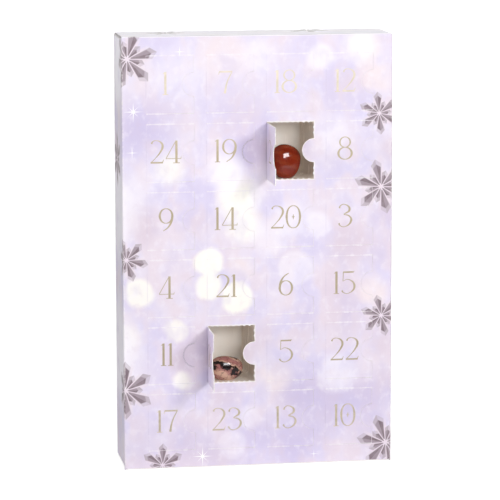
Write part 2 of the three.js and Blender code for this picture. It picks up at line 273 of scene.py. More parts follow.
def finish_group(name, inputs, outputs):
    """An empty node group with its sockets, and its input and output nodes."""
    group = bpy.data.node_groups.new(name, "ShaderNodeTree")
    for socket, kind in inputs:
        group.interface.new_socket(socket, in_out="INPUT", socket_type="NodeSocket" + kind)
    for socket, kind in outputs:
        group.interface.new_socket(socket, in_out="OUTPUT", socket_type="NodeSocket" + kind)
    return group, group.nodes.new("NodeGroupInput").outputs, group.nodes.new("NodeGroupOutput").inputs


def placed_group(tree, group, **values):
    node = tree.nodes.new("ShaderNodeGroup")
    node.node_tree = group
    for socket, value in values.items():
        connect(value, node.inputs[socket])
    return node.outputs


def nearest_motif(across, up, table):
    """The place within the scattered motif that a point falls in, as shares of its size from its
    middle, with the motif's own turn and a mask that is 1 inside any of them."""
    inner_across = inner_up = turn = found = None
    for middle_across, middle_up, size, tilt in table:
        from_across, from_up = across - middle_across, up - middle_up
        near = (from_across * from_across + from_up * from_up).worked("LESS_THAN", size * size)
        share = near * (1 / size)
        if found is None:
            inner_across, inner_up, turn, found = from_across * share, from_up * share, near * tilt, near
        else:
            inner_across = from_across.worked("MULTIPLY_ADD", share, inner_across)
            inner_up = from_up.worked("MULTIPLY_ADD", share, inner_up)
            turn = near.worked("MULTIPLY_ADD", tilt, turn)
            found = found.most(near)
    return inner_across, inner_up, turn, found


def snowflake_motif(across, up, turn, found):
    """Six long faceted arms with pale tips and six short ones, on broad light spokes: the shares
    of dark crystal, pale crystal and light spoke."""
    sector = math.pi / 3
    reach = length_of(across, up)
    angle = up.worked("ARCTAN2", across) + turn
    dark = pale = light = None
    for share, turned, dark_end in ((1, 0, 0.78), (0.6, sector / 2, 0.7)):
        folded = (angle + turned).worked("WRAP", sector / 2, -sector / 2)
        arm = reach * (1 / share)
        along = arm * folded.worked("COSINE")
        beside = arm * folded.worked("SINE")
        off = beside.size()
        width = (along * 0.25 - 0.008).least(along.rest() * 0.95)
        inside = (width - off).rise(-0.012, 0.012) * along.rise(0.1, 0.14)
        chevron = along + off * 0.9
        heart = inside * chevron.rise(dark_end + 0.06, dark_end) * (width * 0.9 - off).rise(-0.01, 0.02)
        heart = heart * (beside.rise(-0.01, 0.01) * 0.42).rest()
        tip = inside * (beside.rise(0.01, -0.01) * 0.45).rest()
        spoke = (width + 0.1 - off).rise(0, 0.03) * along.rise(0.9, 0.45)
        dark = either(dark, heart)
        pale = either(pale, tip)
        light = either(light, spoke)
    return dark, pale, light * found


def spark_motif(across, up, rays):
    """A small star of four fine rays, with four shorter ones between where rays is 1."""
    star = None
    for tilt, share in ((0, 1), (math.pi / 4, 0.75)):
        x = (across * (math.cos(tilt) / share) + up * (math.sin(tilt) / share)).size()
        y = (up * (math.cos(tilt) / share) - across * (math.sin(tilt) / share)).size()
        ray = (x.most(y) * 0.06 + x.least(y)).rise(0.075, 0.035)
        star = ray if star is None else star.most(ray * rays)
    return star


# Soft lights of the print, first the wide washes, then the bright discs, last those past the front's
# edges, with a few painted shadows at the open doors among them: place across and up, radius and
# softness of the edge, in mm, then strength and tint
LILAC = daylight(230, 221, 236)
BLUE_LILAC = daylight(219, 211, 236)
ROSE = daylight(231, 216, 225)
VIOLET = daylight(200, 189, 222)
PLUM = daylight(212, 195, 211)
CREAM = daylight(252, 249, 241)
PEACH = daylight(245, 231, 229)
WHITE = daylight(246, 242, 250)
PRINT_LIGHTS_AND_PAINTED_SHADOWS = [
    (-84, 236, 14, 12, 0.8, VIOLET), (-66, 244, 14, 10, 0.4, VIOLET),
    (-92, 215, 10, 10, 0.4, BLUE_LILAC), (18, 268, 16, 16, 0.6, BLUE_LILAC),
    (-24, 262, 20, 16, 0.35, BLUE_LILAC), (-55, 276, 18, 12, 0.4, WHITE), (60, 262, 16, 12, 0.3, PLUM),
    (70, 240, 14, 10, 0.35, BLUE_LILAC), (-12, 246, 16, 12, 0.3, PLUM), (30, 49, 13, 12, 0.85, VIOLET),
    (52, 45, 14, 10, 0.65, VIOLET), (74, 44, 12, 10, 0.6, VIOLET), (26, 20, 14, 10, 0.5, VIOLET),
    (44, 26, 12, 9, 0.45, VIOLET), (-80, 15, 11, 9, 0.3, VIOLET), (-24, 50, 9, 8, 0.55, PLUM),
    (-50, 22, 12, 9, 0.45, VIOLET), (-74, 40, 11, 9, 0.4, BLUE_LILAC), (60, 122, 13, 11, 0.55, PLUM),
    (62, 100, 12, 9, 0.45, PLUM), (66, 160, 13, 10, 0.45, PLUM), (34, 100, 12, 9, 0.3, PLUM),
    (-80, 172, 10, 8, 0.7, ROSE), (-45, 172, 10, 8, 0.3, PLUM), (2, 92, 10, 8, 0.35, PLUM),
    # (-45, 80), (-6, 220) and (1, 222) are painted shadows cast by open doors 16 and 2 on the front; (-19,
    # 80) and (22, 220) are painted shade on those two doors' own faces
    (-60, 140, 12, 9, 0.3, ROSE), (80, 70, 10, 9, 0.3, ROSE), (-45, 80, 16, 10, 0.6, PLUM),
    (-6, 220, 10, 6, 0.9, VIOLET), (1, 222, 9, 7, 0.5, PLUM), (-19, 80, 15, 6, 0.5, PLUM),
    (22, 220, 15, 6, 0.5, PLUM), (60, 150, 12, 9, 0.5, PLUM), (94, 220, 8, 6, 0.6, PLUM),
    (-88, 192, 12, 8, 0.8, LILAC), (0, 287, 11, 7, 0.5, WHITE), (-82, 170, 12, 9, 0.6, PLUM),
    (2, 22, 12, 9, 0.4, VIOLET), (-12, 27, 14, 10, 0.15, VIOLET), (24, 8, 12, 9, 0.35, VIOLET),
    (-52, 9, 10, 8, 0.2, VIOLET), (84, 150, 12, 9, 0.35, PLUM), (88, 84, 10, 8, 0.4, PLUM),
    (85, 50, 12, 9, 0.35, VIOLET), (76, 20, 12, 9, 0.35, PLUM), (-30, 8, 12, 9, 0.5, PLUM),
    (92, 60, 9, 7, 0.4, PLUM), (90, 175, 9, 7, 0.5, PLUM), (-62, 285, 12, 8, 0.3, BLUE_LILAC),
    (60, 290, 10, 8, 0.3, LILAC), (-14, 188, 13, 7, 0.95, CREAM), (-10, 170, 11, 6, 0.85, CREAM),
    (-22, 206, 12, 7, 0.8, WHITE), (-34, 144, 10, 2.2, 1, CREAM), (-35, 127, 9, 2.2, 0.9, CREAM),
    (-15, 119, 11, 2, 0.95, CREAM), (-12, 138, 9, 4, 0.45, PEACH), (-83, 124, 10.5, 2.5, 0.85, CREAM),
    (-92, 92, 9, 4, 0.6, CREAM), (-58, 97, 8, 2.2, 0.75, CREAM), (-53, 61, 6.5, 3, 0.75, CREAM),
    (-62, 209, 10, 6, 0.7, CREAM), (26, 138, 12, 2, 0.45, WHITE), (8, 160, 12, 5, 0.45, WHITE),
    (41, 169, 9, 2.5, 0.5, WHITE), (81, 120, 9, 5, 0.6, PEACH), (-19, 15, 10, 1.8, 0.35, WHITE),
    (12, 62, 10, 5, 0.5, PEACH), (55, 63, 13, 4, 0.55, WHITE), (43, 285, 9, 3, 0.7, WHITE),
    (72, 292, 11, 6, 0.7, CREAM), (54, 232, 12, 6, 0.45, WHITE), (24, 172, 12, 6, 0.5, WHITE),
    (-6, 34, 8, 3, 0.4, WHITE), (-78, 198, 12, 8, 0.25, WHITE), (-25, 285, 16, 8, 0.35, PEACH),
    (84, 270, 10, 6, 0.5, PEACH), (152, 210, 14, 10, 0.6, VIOLET), (128, 90, 12, 7, 0.7, CREAM),
    (-119, 278, 26, 10, 1, WHITE), (-120, 180, 34, 14, 1, WHITE), (-120, 80, 36, 14, 0.9, WHITE),
    (-126, 40, 13, 9, 0.3, VIOLET), (190, 120, 16, 3, 0.7, CREAM), (250, 230, 18, 4, 0.6, WHITE),
    (284, 60, 20, 12, 0.6, VIOLET), (216, 270, 18, 10, 0.5, VIOLET), (236, 90, 12, 3, 0.6, PEACH),
]
# Snowflakes along the edges: place across and up, length of the long arms, in mm, and turn
SNOWFLAKES = [
    (-90, 285, 21, 0.82), (-91.5, 147, 15.5, 0.23), (-93, 56, 20.5, 0.52), (-67.5, 2.5, 15.5, 0.55),
    (84.5, 245, 15, 0.44), (86, 194, 19.5, 0.3), (86.5, 103.5, 15, 0.31), (90, 13, 21, 0.2),
    (-122, 214, 20, 0.5), (126, 262, 20, 0.3), (124, 130, 18, 0.1), (120, 44, 16, 0.5),
    (-60, 330, 14, 0.1), (40, 336, 16, 0.4), (168, 170, 24, 0.2),
    (226, 250, 22, 0.5), (286, 120, 24, 0.1), (210, 60, 20, 0.35), (300, 210, 18, 0.45),
]
# Sparks: place across and up, length of the rays, and 1 where four shorter ones stand between them
SPARKS = [
    (-86, 249, 7, 1), (-87, 221, 4.5, 0), (-54, 289.5, 4, 0), (-39.5, 7.8, 7.5, 1), (39, 6.7, 3.5, 0),
    (112, 180, 6, 1), (-112, 150, 6, 1), (150, 60, 6, 1), (240, 190, 7, 1), (260, 40, 5, 0),
]


# In mm: how far below the top the print turns on to the lid, how sharply it turns, and how far the
# marks reach from the cut lines: burrs, the tongues' lines, creases, their relief, and the painted
# shade of raking light beside the open doors
LID_TURN, FOLD_STEP = 0.66, 0.01
BURR_REACH, TONGUE_LINE, CREASE_LINE, CUT_RELIEF, RAKED_SHADE_REACH = 0.7, 0.5, 0.7, 0.9, 12


def grid_offset(place, first, pitch):
    """How far a place lies from the middle of the nearest of the evenly spaced doors."""
    return (place - first).worked("WRAP", pitch / 2, -pitch / 2)


def opening_distance(across, up):
    """The distance to a door's cut line from outside it, in mm, from the place about its middle."""
    box = (across.size() - DOOR_WIDTH / 2).most(up.size() - DOOR_HEIGHT / 2)
    tongue = length_of(across - DOOR_WIDTH / 2, up)
    return box.most(-(tongue - TONGUE_RADIUS))


def unfolded(x, y, z):
    """Where a point of the carton lies on its print laid flat, across and up, and 1 on the lid."""
    half_width, half_depth = CARTON_WIDTH / 2, CARTON_DEPTH / 2
    lid_fold, back_fold = CARTON_HEIGHT - LID_TURN, half_depth - FOLD_RADIUS
    top = z.rise(lid_fold, lid_fold + FOLD_STEP)
    rear = y.rise(back_fold - FOLD_STEP, back_fold) * top.rest()
    round_side = (y + half_depth) * x.worked("SIGN") * top.rest()
    front_across = x + round_side
    rear_across = -x + (CARTON_WIDTH + CARTON_DEPTH)
    across = front_across * rear.rest() + rear_across * rear
    up = z * top.rest() + (y + (CARTON_HEIGHT + half_depth)) * top
    return across, up, top


def cut_marks(colour, across, up, mottle):
    """The doors' cut lines in the print: pale burrs along the perforations, a fine line round each
    tongue, with painted shade beside an open door where the light rakes it, and a faint one along each
    crease."""
    door_across = grid_offset(across, FIRST_DOOR_LEFT + DOOR_WIDTH / 2, COLUMN_PITCH)
    door_up = grid_offset(up, FIRST_DOOR_LOW + DOOR_HEIGHT / 2, ROW_PITCH)
    grid_middle_across = FIRST_DOOR_LEFT + ((COLUMNS - 1) * COLUMN_PITCH + DOOR_WIDTH) / 2
    grid_middle_up = FIRST_DOOR_LOW + ((ROWS - 1) * ROW_PITCH + DOOR_HEIGHT) / 2
    grid_half_width, grid_half_height = COLUMNS * COLUMN_PITCH / 2, ROWS * ROW_PITCH / 2
    in_grid = (across - grid_middle_across).size().rise(grid_half_width - 1, grid_half_width - 2)
    in_grid = in_grid * (up - grid_middle_up).size().rise(grid_half_height - 0.5, grid_half_height - 1)
    line = opening_distance(door_across, door_up).size()
    beyond = (door_up.size() - DOOR_HEIGHT / 2).size()
    dashes = door_across.worked("PINGPONG", TOOTH_PITCH / 2).rise(0.15, 0.6) * 0.5 + 0.5
    dashes = dashes * mottle.rise(0.38, 0.6)
    burr = beyond.rise(BURR_REACH, 0.3) * door_across.size().rise(DOOR_WIDTH / 2, DOOR_WIDTH / 2 - 0.5)
    burr = burr * dashes
    curve = line.rise(TONGUE_LINE, 0.15) * door_across.rise(DOOR_WIDTH / 2 - 0.4, DOOR_WIDTH / 2 - 0.9)
    curve = curve * door_up.size().rise(TONGUE_RADIUS + 0.3, TONGUE_RADIUS)
    crease = (door_across + DOOR_WIDTH / 2).size().rise(CREASE_LINE, 0.1)
    crease = crease * door_up.size().rise(DOOR_HEIGHT / 2 + 0.3, DOOR_HEIGHT / 2 - 0.3)
    colour = painted(burr * in_grid * 0.45, colour, daylight(253, 251, 253))
    raked_shade = None
    for number in OPEN_ANGLES:
        middle = door_places[number] + DOOR_MIDDLE
        beside_door = length_of(across - (middle.x + DOOR_WIDTH / 2 - COLUMN_PITCH), up - middle.z)
        raked_shade = either(raked_shade, beside_door.rise(RAKED_SHADE_REACH, RAKED_SHADE_REACH - 3))
    # Painted shade: beside an open door the tongue's line is painted much darker, for the door's shadow
    # and the light raking its slit
    colour = painted(curve * in_grid * (raked_shade * 0.7 + 0.08), colour, daylight(150, 136, 162))
    colour = painted(crease * in_grid * 0.12, colour, daylight(205, 193, 220))
    return colour, line.rise(CUT_RELIEF, 0.1).most(crease) * in_grid


def winter_print():
    """The print on the carton's outer side, laid out as one sheet that runs over every fold."""
    group, given, made = finish_group(
        "winter_print",
        [("Place", "Vector")],
        [("Colour", "Color"), ("Cut", "Float"), ("Across", "Float"), ("Up", "Float")],
    )
    x, y, z = (part * (1 / MM) for part in split(given["Place"]))
    across, up, top = unfolded(x, y, z)
    sheet = joined(across, up)

    wide = cloud(sheet, 1 / 42, 2)
    small = cloud(joined(across, up * 0.7, 40), 1 / 14, 2, 0.5)
    mottle = cloud(joined(across, up * 0.8, 90), 1 / 5, 2, 0.5)
    colour = painted(wide.rise(0.38, 0.62), BLUE_LILAC, LILAC)
    colour = painted(small.rise(0.42, 0.66) * 0.6, colour, ROSE)
    drift_across = across + (small - 0.5) * 8
    drift_up = up + (mottle - 0.5) * 4 + (wide - 0.5) * 6
    for disc_across, disc_up, radius, softness, strength, tint in PRINT_LIGHTS_AND_PAINTED_SHADOWS:
        away = length_of(drift_across - disc_across, drift_up - disc_up)
        colour = painted(away.rise(radius + softness, radius - softness) * strength, colour, tint)
    colour = painted(small.rise(0.5, 0.3) * 0.25, colour, VIOLET)
    colour = painted(mottle.rise(0.5, 0.72) * 0.25, colour, WHITE)
    colour = painted(mottle.rise(0.45, 0.25) * 0.15, colour, PLUM)

    colour = painted(top * 0.6, colour, WHITE)
    dark, pale, light = snowflake_motif(*nearest_motif(across, up, SNOWFLAKES))
    colour = painted(light * 0.75, colour, daylight(232, 219, 228))
    colour = painted(pale * 0.8, colour, daylight(180, 166, 176))
    colour = painted(dark * (mottle * 0.6 + 0.6), colour, daylight(120, 101, 110))
    spark_across, spark_up, rays, spark = nearest_motif(across, up, SPARKS)
    colour = painted(spark_motif(spark_across, spark_up, rays) * spark, colour, daylight(255, 255, 255))

    colour, cut = cut_marks(colour, across, up, mottle)
    connect(colour, made["Colour"])
    connect(cut, made["Cut"])
    connect(across, made["Across"])
    connect(up, made["Up"])
    return group


PRINT = winter_print()
PAPER_WHITE = daylight(248, 243, 243)
GREYBOARD = daylight(188, 178, 165)
PRINT_SKIN = 0.1


def board_finish(name, depth_below_print, print_reach=None, print_wear=None, torn=(), turned=None):
    """Printed board: silk-coated print on the outer side, white paper on the cut edges and grey
    pulp within, with a ragged white fringe along the torn lines. Turned lays an open door flat."""
    material, tree, shader = new_finish(name)
    place = object_place(tree)
    if turned:
        crease, turn = turned
        flat = tree.nodes.new("ShaderNodeMapping")
        flat.inputs["Rotation"].default_value = (0, 0, turn)
        flat.inputs["Location"].default_value = crease - Matrix.Rotation(turn, 3, "Z") @ crease
        connect(place, flat.inputs["Vector"])
        place = flat.outputs["Vector"]
    x, y, z = (part * (1 / MM) for part in split(place))
    fine = tree.nodes.new("ShaderNodeVectorMath")
    fine.operation = "SCALE"
    connect(place, fine.inputs[0])
    fine.inputs["Scale"].default_value = 1 / MM
    grain = fine.outputs["Vector"]
    depth = depth_below_print(x, y, z)
    printed = depth.rise(PRINT_SKIN, PRINT_SKIN / 2)
    pulp = depth.rise(BOARD - PRINT_SKIN, BOARD - PRINT_SKIN / 2)
    sheet = placed_group(tree, PRINT, Place=place)
    across, up = Measure(sheet["Across"]), Measure(sheet["Up"])

    ragged = cloud(grain, 1.4, 3, 0.7)
    fibres = cloud(grain, 0.9, 4, 0.75)
    grey = painted(fibres.rise(0.4, 0.75) * 0.7, GREYBOARD, daylight(160, 147, 132))
    grey = painted(cloud(grain, 3.2, 1).rise(0.62, 0.72) * 0.5, grey, daylight(214, 206, 194))
    edge = painted(cloud(grain, 2.5, 2).rise(0.35, 0.8) * 0.35, PAPER_WHITE, daylight(228, 220, 214))
    colour = sheet["Colour"]
    if print_reach:
        colour = painted(print_reach(x, y, z), colour, daylight(236, 231, 228))
    colour = painted(cloud(grain, 3, 2).rise(0.2, 0.9) * 0.05, colour, daylight(200, 188, 205))
    fringe = None
    for number in torn:
        middle = door_places[number] + DOOR_MIDDLE
        from_middle = across - middle.x
        gap = opening_distance(from_middle, up - middle.z).size() + ragged * 1.1
        frayed = gap.rise(1.2, 0.85) * from_middle.rise(-DOOR_WIDTH / 2 + 0.3, -DOOR_WIDTH / 2 + 0.6)
        fringe = either(fringe, frayed)
    if print_wear:
        colour = painted(print_wear(x, y, z, grain), colour, PAPER_WHITE)
    if fringe is not None:
        colour = painted(fringe, colour, PAPER_WHITE)
    colour = painted(printed.rest(), colour, edge)
    colour = painted(pulp, colour, grey)
    connect(colour, shader.inputs["Base Color"])
    matt = printed.rest() if fringe is None else printed.rest().most(fringe)
    connect(matt * 0.42 + (cloud(grain, 1.8, 2) * 0.08 + 0.36), shader.inputs["Roughness"])
    connect(matt.rest() * 0.12, shader.inputs["Coat Weight"])
    shader.inputs["Coat Roughness"].default_value = 0.3
    height = cloud(grain, 2.2, 3, 0.6) * (matt * 0.5 + 0.12) + Measure(sheet["Cut"]) * -0.15
    if fringe is not None:
        height = height + fringe * ragged * 0.7
    add_relief(tree, height, 0.12, 0.5)
    return material


def wall_depth(x, y, z):
    """How deep a point of the sleeve lies below the carton's rounded outer face, in mm."""
    beyond_side = x.size() - (CARTON_WIDTH / 2 - FOLD_RADIUS)
    beyond_front = y.size() - (CARTON_DEPTH / 2 - FOLD_RADIUS)
    outside = length_of(beyond_side.most(0), beyond_front.most(0))
    outside = outside + beyond_side.most(beyond_front).least(0)
    return (-outside + FOLD_RADIUS).least(z)


def fold_wear(x, y, z, grain):
    """Where the print has rubbed through to the paper: along the folds, the rim and the foot."""
    beyond_side = x.size() - (CARTON_WIDTH / 2 - FOLD_RADIUS)
    corner = beyond_side.least(y.size() - (CARTON_DEPTH / 2 - FOLD_RADIUS))
    worn = corner.rise(0.02, 0.35) * cloud(grain, 0.35, 3, 0.7).rise(0.42, 0.7) * 0.5
    rim = z.rise(CARTON_HEIGHT - 0.5, CARTON_HEIGHT) * cloud(grain, 0.6, 2).rise(0.4, 0.7) * 0.6
    foot = z.rise(0.8, 0.1) * cloud(grain, 0.5, 2).rise(0.4, 0.65) * 0.6
    return worn.most(rim).most(foot)


def resurface(piece, material):
    piece.data.materials.clear()
    piece.data.materials.append(material)


sleeve_board = board_finish("sleeve_board", wall_depth, print_wear=fold_wear, torn=tuple(OPEN_ANGLES))
resurface(nodes["carton_sleeve"], sleeve_board)

# The doors: 24 flaps cut in the front, still joined to it along a crease on the left. Doors 2 and
# 16 were torn along their perforations and stand open; the rest lie flush.


def door_depth(x, y, z):
    return y - FRONT


closed_door_board = board_finish("door_board", door_depth)
for number, corner in door_places.items():
    if number in OPEN_ANGLES:
        crease = Vector((corner.x, corner.y, 0)) * MM
        turned = (crease, math.radians(OPEN_ANGLES[number]))
        finish = board_finish(f"door_{number:02d}_board", door_depth, torn=(number,), turned=turned)
    else:
        finish = closed_door_board
    resurface(nodes[f"door_{number:02d}"], finish)

# The top: the lid hangs on the back wall, with its tuck flap slid in behind the front, over two
# dust flaps whose print only bleeds a little way past their folds.

FLAP_GAP = 0.3
PRINT_END = CARTON_WIDTH / 2 - 5
resurface(nodes["lid_panel"], board_finish("lid_board", lambda x, y, z: -z + CARTON_HEIGHT))
resurface(nodes["tuck_flap"], board_finish("tuck_board", lambda x, y, z: y - (FRONT + BOARD + FLAP_GAP)))
dust_flap_board = board_finish(
    "dust_flap_board",
    lambda x, y, z: -z + (CARTON_HEIGHT - BOARD - FLAP_GAP),
    print_reach=lambda x, y, z: x.size().rise(PRINT_END, PRINT_END - 0.4),
)
for name in ("top_dust_flap_left", "top_dust_flap_right"):
    resurface(nodes[name], dust_flap_board)

# The creases: along each opening's left edge the board was scored and bent, which leaves a thin
# rounded roll of paper that holds the door to the front at every angle.

CREASE_RADIUS = 0.14
CREASE_INSET, CREASE_SUNK = 0.1, 0.13
CREASE_SIDES = 8
crease_paper, crease_tree, crease_shader = new_finish("crease_paper")
crease_place = object_place(crease_tree)
crease_print = placed_group(crease_tree, PRINT, Place=crease_place)["Colour"]
crack = cloud(crease_place, 900, 3, 0.7)
crease_colour = painted(crack.rise(0.45, 0.6) * 0.25, crease_print, PAPER_WHITE)
connect(crease_colour, crease_shader.inputs["Base Color"])
connect(crack * 0.3 + 0.45, crease_shader.inputs["Roughness"])


def new_piece(name, bm, material, body, smooth=False):
    """Makes an object of a bmesh, at the origin, riding on a body."""
    mesh = bpy.data.meshes.new(name)
    bm.to_mesh(mesh)
    bm.free()
    mesh.materials.append(material)
    if smooth:
        mesh.shade_smooth()
    piece = bpy.data.objects.new(name, mesh)
    bpy.context.scene.collection.objects.link(piece)
    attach(piece, body)
    return piece


for number, corner in door_places.items():
    bm = bmesh.new()
    bmesh.ops.create_cone(
        bm, cap_ends=True, segments=CREASE_SIDES, radius1=CREASE_RADIUS * MM, radius2=CREASE_RADIUS * MM,
        depth=(DOOR_HEIGHT - 1) * MM,
        matrix=Matrix.Translation((corner + Vector((CREASE_INSET, CREASE_SUNK, DOOR_HEIGHT / 2))) * MM),
    )
    new_piece(f"door_crease_{number:02d}", bm, crease_paper, f"door_{number:02d}")

# Under each door's printed skin the board splits along the perforations, so that a paler ply of
# paper fibres stands out a little past the skin and all but closes the cut.

SAME_PLACE = 0.01
PLY_FRONT, PLY_BACK = 0.05, 0.5
PLY_OUT, PLY_OUT_AT_TONGUE = 0.24, 0.2


def paper_ply(name, dark, light):
    """Matt paper fibres between two colours."""
    ply, tree, shader = new_finish(name)
    fibres = cloud(object_place(tree), 700, 4, 0.7)
    colour = painted(fibres.rise(0.35, 0.65), daylight(*dark), daylight(*light))
    connect(colour, shader.inputs["Base Color"])
    connect(fibres * 0.2 + 0.7, shader.inputs["Roughness"])
    add_relief(tree, fibres, 0.1)
    return ply


closed_ply = paper_ply("closed_ply", (226, 218, 230), (240, 234, 240))
torn_ply = paper_ply("torn_ply", (242, 236, 236), (254, 251, 250))
for number, corner in door_places.items():
    bm = bmesh.new()
    bm.from_mesh(nodes[f"door_{number:02d}"].data)
    bmesh.ops.remove_doubles(bm, verts=bm.verts, dist=SAME_PLACE * MM)
    hinge = corner * MM
    angle = math.radians(OPEN_ANGLES.get(number, 0))
    bmesh.ops.rotate(bm, verts=bm.verts, cent=hinge, matrix=Matrix.Rotation(angle, 3, "Z"))
    bm.normal_update()
    sides = {}
    for vert in bm.verts:
        outward = sum((face.normal for face in vert.link_faces if abs(face.normal.y) < 0.5), Vector())
        outward.y = 0
        if vert.co.x - hinge.x < MM:
            outward.x = 0
        sides[vert] = outward.normalized() if outward.length > 0.01 else Vector()
    for vert, outward in sides.items():
        skin = vert.co.y < (FRONT + BOARD / 2) * MM
        from_tongue = vert.co - (corner + DOOR_MIDDLE + Vector((DOOR_WIDTH / 2, 0, 0))) * MM
        from_tongue.y = 0
        at_tongue = from_tongue.length < (TONGUE_RADIUS + 0.5) * MM
        vert.co = vert.co + outward * (PLY_OUT_AT_TONGUE if at_tongue else PLY_OUT) * MM
        vert.co.y = (FRONT + (PLY_FRONT if skin else PLY_BACK)) * MM
    bmesh.ops.rotate(bm, verts=bm.verts, cent=hinge, matrix=Matrix.Rotation(-angle, 3, "Z"))
    ply = torn_ply if number in OPEN_ANGLES else closed_ply
    new_piece(f"door_ply_{number:02d}", bm, ply, f"door_{number:02d}")

# The numbers: pale gold foil pressed on the doors, drawn as upright thick and thin strokes, with
# a small star inside each nought. Each is a bent ribbon along its strokes, made a flat mesh.

NUMBER_HEIGHT = 15.8
NUMBER_OFFSET = Vector((-3.2, 0, 1.0))
FOIL_PROUD, FOIL_SUNK, FOIL_STEP = 0.03, 0.02, 0.002
DIGIT_GAP = 0.075
# Each digit: its width, its closed strokes and its open ones. Each stroke's points: place across and
# up, and half its width there, all as shares of the number's height
THICK, THIN, FAINT = 0.05, 0.016, 0.007
NOUGHT = [(.33, .99, THIN), (.035, .5, THICK), (.33, .01, THIN), (.625, .5, THICK)]
DIGITS = {
    "0": (.66, [NOUGHT], [[(.33, .385, FAINT), (.33, .5, .03), (.33, .615, FAINT)],
                          [(.26, .5, FAINT), (.33, .5, .022), (.40, .5, FAINT)]]),
    "1": (.24, [], [[(.12, .01, THICK), (.12, .99, THICK)], [(0, .012, THIN), (.24, .012, THIN)],
                    [(.11, .965, .025), (.005, .90, FAINT)]]),
    "2": (.60, [], [[(.06, .86, .04), (.13, .96, .02), (.30, .99, .013), (.50, .88, .04), (.545, .73, .05),
                     (.45, .50, .035), (.25, .25, .015), (.03, .03, THIN)],
                    [(.02, .034, .034), (.555, .034, .034)], [(.545, .05, .02), (.59, .17, FAINT)]]),
    "3": (.64, [], [[(.07, .83, .04), (.14, .95, .02), (.31, .99, THIN), (.53, .77, THICK),
                     (.27, .55, THIN)],
                    [(.27, .55, THIN), (.52, .47, .03), (.60, .28, .05), (.33, .01, THIN), (.12, .05, .02),
                     (.05, .16, .04)]]),
    "4": (.69, [], [[(.455, .98, THIN), (.02, .215, THIN)], [(.01, .20, .014), (.68, .20, .014)],
                    [(.66, .20, .012), (.685, .29, FAINT)], [(.47, .01, THICK), (.47, .98, THICK)],
                    [(.33, .012, THIN), (.61, .012, THIN)]]),
    "5": (.66, [], [[(.12, .955, .034), (.57, .955, .034)], [(.56, .97, .02), (.61, .99, FAINT)],
                    [(.115, .98, THIN), (.095, .55, THIN)],
                    [(.095, .56, .010), (.33, .63, .014), (.61, .33, .05), (.34, .01, .014),
                     (.12, .05, .02), (.045, .14, .038)]]),
    "6": (.66, [[(.34, .65, THIN), (.61, .33, THICK), (.34, .01, THIN), (.06, .33, .05)]],
          [[(.06, .33, .05), (.10, .56, THICK), (.24, .82, .03), (.46, .985, THIN)]]),
    "7": (.62, [], [[(.03, .957, .034), (.60, .957, .034)], [(.03, .95, .02), (.0, .83, FAINT)],
                    [(.585, .95, THIN), (.37, .5, .03), (.27, .02, .05)]]),
    "8": (.66, [[(.33, .99, THIN), (.10, .76, .036), (.33, .535, THIN), (.56, .76, .036)],
                [(.33, .535, THIN), (.035, .27, THICK), (.33, .01, THIN), (.625, .27, THICK)]], []),
    "9": (.66, [[(.32, .99, THIN), (.05, .67, THICK), (.32, .35, THIN), (.60, .67, .05)]],
          [[(.60, .67, .05), (.56, .44, THICK), (.42, .18, .03), (.20, .015, THIN)]]),
}

foil, foil_tree, foil_shader = new_finish("gold_foil")
foil_place = object_place(foil_tree)
foil_cloud = cloud(foil_place, 160, 3, 0.6)
foil_grain = cloud(foil_place, 2600, 2, 0.6)
foil_height = split(foil_place)[2] * (1 / MM)
foil_colour = painted(foil_cloud.rise(0.3, 0.7), daylight(222, 209, 186), daylight(200, 187, 162))
# Painted reflection: the foil is painted darker across the middle rows and paler along the top row, for
# the uneven light the room throws on it
foil_painted_shade = foil_height.rise(50, 75) * foil_height.rise(245, 215) * 0.6
foil_colour = painted(foil_painted_shade, foil_colour, daylight(172, 156, 130))
foil_colour = painted(foil_height.rise(235, 265) * 0.25, foil_colour, daylight(246, 240, 234))
connect(foil_colour, foil_shader.inputs["Base Color"])
foil_shader.inputs["Metallic"].default_value = 0.7
connect(foil_grain * 0.25 + foil_cloud * 0.2 + 0.2, foil_shader.inputs["Roughness"])
add_relief(foil_tree, foil_grain, 0.03, 0.5)

ribbon = bpy.data.curves.new("foil_ribbon", "CURVE")
ribbon_edge = ribbon.splines.new("POLY")
ribbon_edge.points.add(3)
ribbon_edge.use_cyclic_u = True
for point, (x, y) in zip(ribbon_edge.points, ((-1, -1), (1, -1), (1, 1), (-1, 1))):
    point.co = (x, y, 0, 1)
ribbon_shape = bpy.data.objects.new("foil_ribbon", ribbon)


def foil_stroke(points, cyclic):
    """A flat ribbon along one stroke, as a mesh lying in the plane of X and Y."""
    curve = bpy.data.curves.new("foil_stroke", "CURVE")
    curve.dimensions = "2D"
    curve.fill_mode = "NONE"
    curve.bevel_mode = "OBJECT"
    curve.bevel_object = ribbon_shape
    curve.use_fill_caps = True
    spline = curve.splines.new("BEZIER")
    spline.resolution_u = 9
    spline.use_smooth = False
    spline.use_cyclic_u = cyclic
    spline.bezier_points.add(len(points) - 1)
    for knot, (across, up, half_width) in zip(spline.bezier_points, points):
        knot.co = (across, up, 0)
        knot.handle_left_type = knot.handle_right_type = "AUTO"
        knot.radius = half_width
    drawn = bpy.data.objects.new("foil_stroke", curve)
    bpy.context.scene.collection.objects.link(drawn)
    bpy.context.view_layer.update()
    mesh = bpy.data.meshes.new_from_object(drawn.evaluated_get(bpy.context.evaluated_depsgraph_get()))
    bpy.data.objects.remove(drawn)
    bpy.data.curves.remove(curve)
    return mesh


